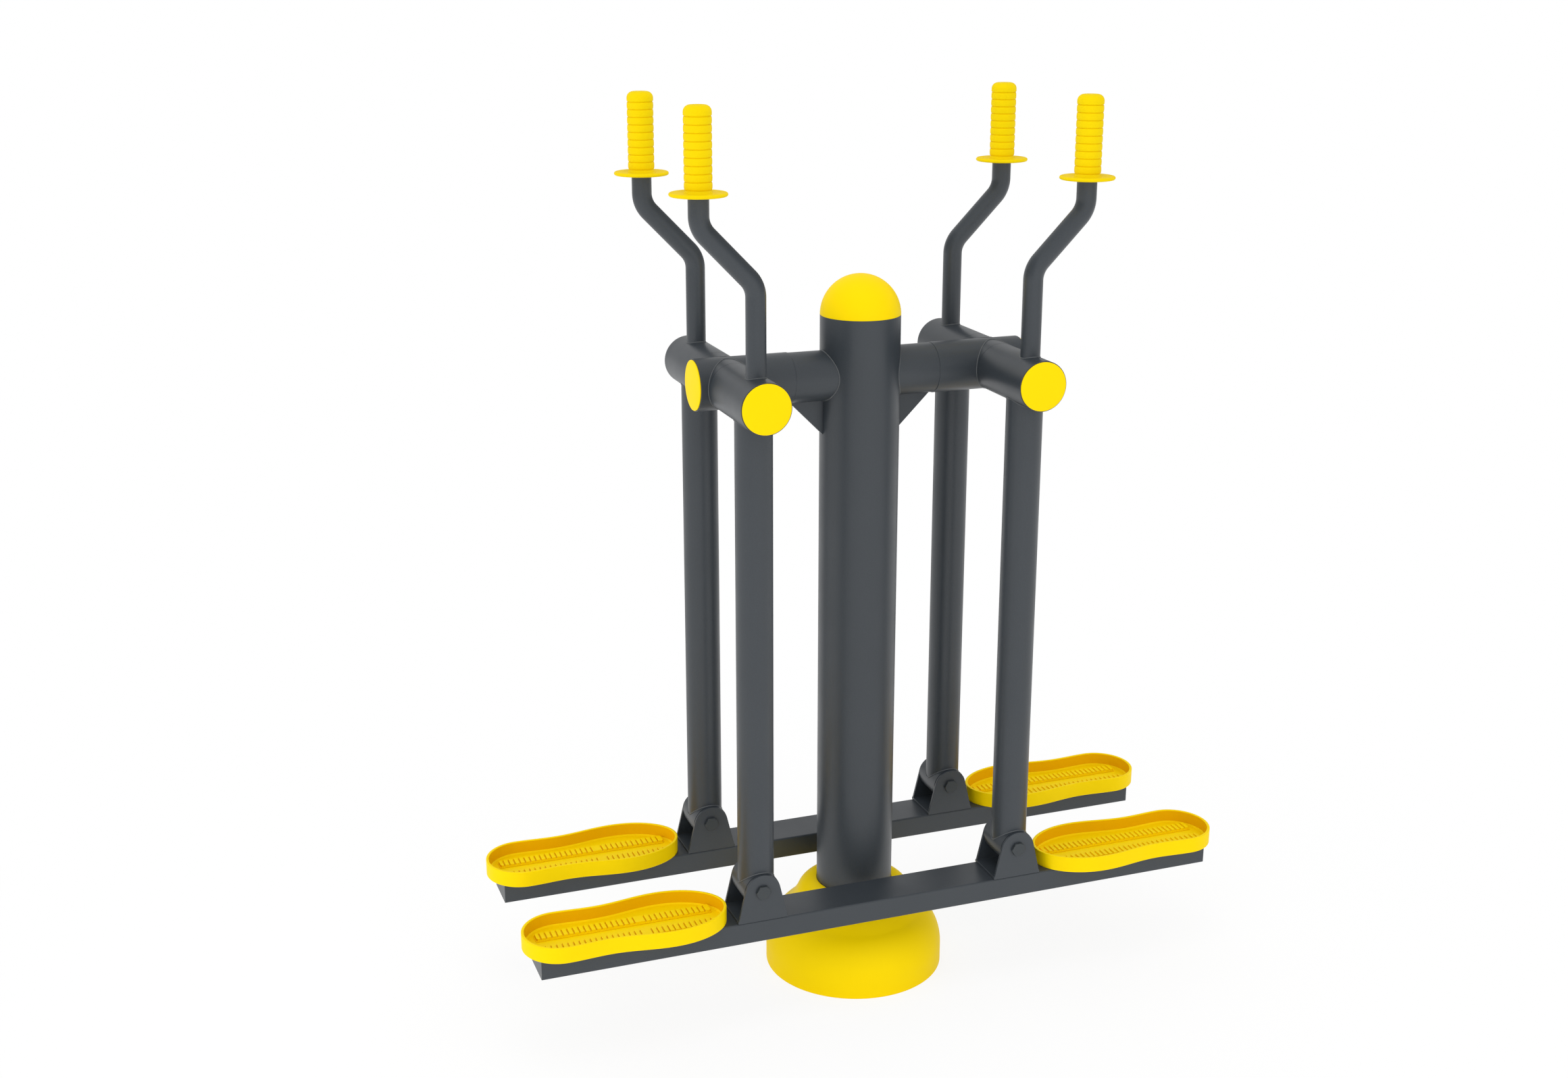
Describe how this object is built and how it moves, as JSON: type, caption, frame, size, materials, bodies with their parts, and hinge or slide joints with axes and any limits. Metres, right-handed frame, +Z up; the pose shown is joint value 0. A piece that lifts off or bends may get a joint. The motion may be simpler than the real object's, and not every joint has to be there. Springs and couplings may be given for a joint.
{
  "type": "outdoor air walker",
  "caption": "Free-standing outdoor air walker: a post with cross hubs carries swinging legs with handlebars, linked below by beams with shoe-shaped footplates.",
  "frame": {"origin": "on the ground under the centre of the post", "axes": "+Z up along the post, +X to the right along the arms and beams, +Y from the front beam to the rear beam"},
  "size_m": [1.329, 0.442, 1.6045],
  "materials": {
    "frame_paint": "satin powder coat",
    "yellow_moulding": "satin moulded",
    "grip_moulding": "satin moulded",
    "bearing_steel": "ground",
    "bush_nylon": "machined",
    "seal_rubber": "matt",
    "bolt_black": "black zinc",
    "screw_steel": "zinc plated"
  },
  "bodies": {
    "frame": {"post": "frame_paint", "base_flange": "frame_paint", "base_ribs": "frame_paint", "arm_stubs": "frame_paint", "arm_gussets": "frame_paint", "arm_left": "frame_paint", "arm_right": "frame_paint", "hub_collars": "frame_paint", "base_cover": "yellow_moulding", "post_cap": "yellow_moulding", "arm_caps": "yellow_moulding", "hub_shafts": "bearing_steel", "shaft_spacers": "bearing_steel", "lock_nuts": "bearing_steel", "bearing_inner_rings": "bearing_steel", "hub_seals": "seal_rubber"},
    "front_left_arm": {"sleeve_front_left": "frame_paint", "leg_front_left": "frame_paint", "pivot_tube_front_left": "frame_paint", "handlebar_front_left": "frame_paint", "grip_front_left": "grip_moulding", "hub_cap_front_left": "yellow_moulding", "bearings_front_left": "bearing_steel", "bushes_front_left": "bush_nylon"},
    "front_right_arm": {"sleeve_front_right": "frame_paint", "leg_front_right": "frame_paint", "pivot_tube_front_right": "frame_paint", "handlebar_front_right": "frame_paint", "grip_front_right": "grip_moulding", "hub_cap_front_right": "yellow_moulding", "bearings_front_right": "bearing_steel", "bushes_front_right": "bush_nylon"},
    "rear_left_arm": {"sleeve_rear_left": "frame_paint", "leg_rear_left": "frame_paint", "pivot_tube_rear_left": "frame_paint", "handlebar_rear_left": "frame_paint", "grip_rear_left": "grip_moulding", "hub_cap_rear_left": "yellow_moulding", "bearings_rear_left": "bearing_steel", "bushes_rear_left": "bush_nylon"},
    "rear_right_arm": {"sleeve_rear_right": "frame_paint", "leg_rear_right": "frame_paint", "pivot_tube_rear_right": "frame_paint", "handlebar_rear_right": "frame_paint", "grip_rear_right": "grip_moulding", "hub_cap_rear_right": "yellow_moulding", "bearings_rear_right": "bearing_steel", "bushes_rear_right": "bush_nylon"},
    "front_beam": {"beam_front": "frame_paint", "brackets_front": "frame_paint", "pivot_bolts_front": "bolt_black", "footplate_front_left": "yellow_moulding", "footplate_front_right": "yellow_moulding", "plate_screws_front": "screw_steel"},
    "rear_beam": {"beam_rear": "frame_paint", "brackets_rear": "frame_paint", "pivot_bolts_rear": "bolt_black", "footplate_rear_left": "yellow_moulding", "footplate_rear_right": "yellow_moulding", "plate_screws_rear": "screw_steel"}
  },
  "joints": [
    {"name": "front_swing", "type": "hinge", "parent": "frame", "child": "front_left_arm", "pos_m": [-0.246, -0.146, 1.1305], "axis": [0, 1, 0], "range_deg": [-25, 25]},
    {"name": "front_right_swing", "type": "hinge", "parent": "frame", "child": "front_right_arm", "pos_m": [0.246, -0.146, 1.1305], "axis": [0, 1, 0], "range_deg": [-25, 25]},
    {"name": "front_beam_level", "type": "hinge", "parent": "front_left_arm", "child": "front_beam", "pos_m": [-0.246, -0.146, 0.2655], "axis": [0, 1, 0], "range_deg": [-25, 25]},
    {"name": "rear_swing", "type": "hinge", "parent": "frame", "child": "rear_left_arm", "pos_m": [-0.246, 0.146, 1.1305], "axis": [0, 1, 0], "range_deg": [-25, 25]},
    {"name": "rear_right_swing", "type": "hinge", "parent": "frame", "child": "rear_right_arm", "pos_m": [0.246, 0.146, 1.1305], "axis": [0, 1, 0], "range_deg": [-25, 25]},
    {"name": "rear_beam_level", "type": "hinge", "parent": "rear_left_arm", "child": "rear_beam", "pos_m": [-0.246, 0.146, 0.2655], "axis": [0, 1, 0], "range_deg": [-25, 25]}
  ],
  "couplings": [
    {"joint": "front_right_swing", "follows": "front_swing", "ratio": 1},
    {"joint": "front_beam_level", "follows": "front_swing", "ratio": -1},
    {"joint": "rear_right_swing", "follows": "rear_swing", "ratio": 1},
    {"joint": "rear_beam_level", "follows": "rear_swing", "ratio": -1}
  ]
}
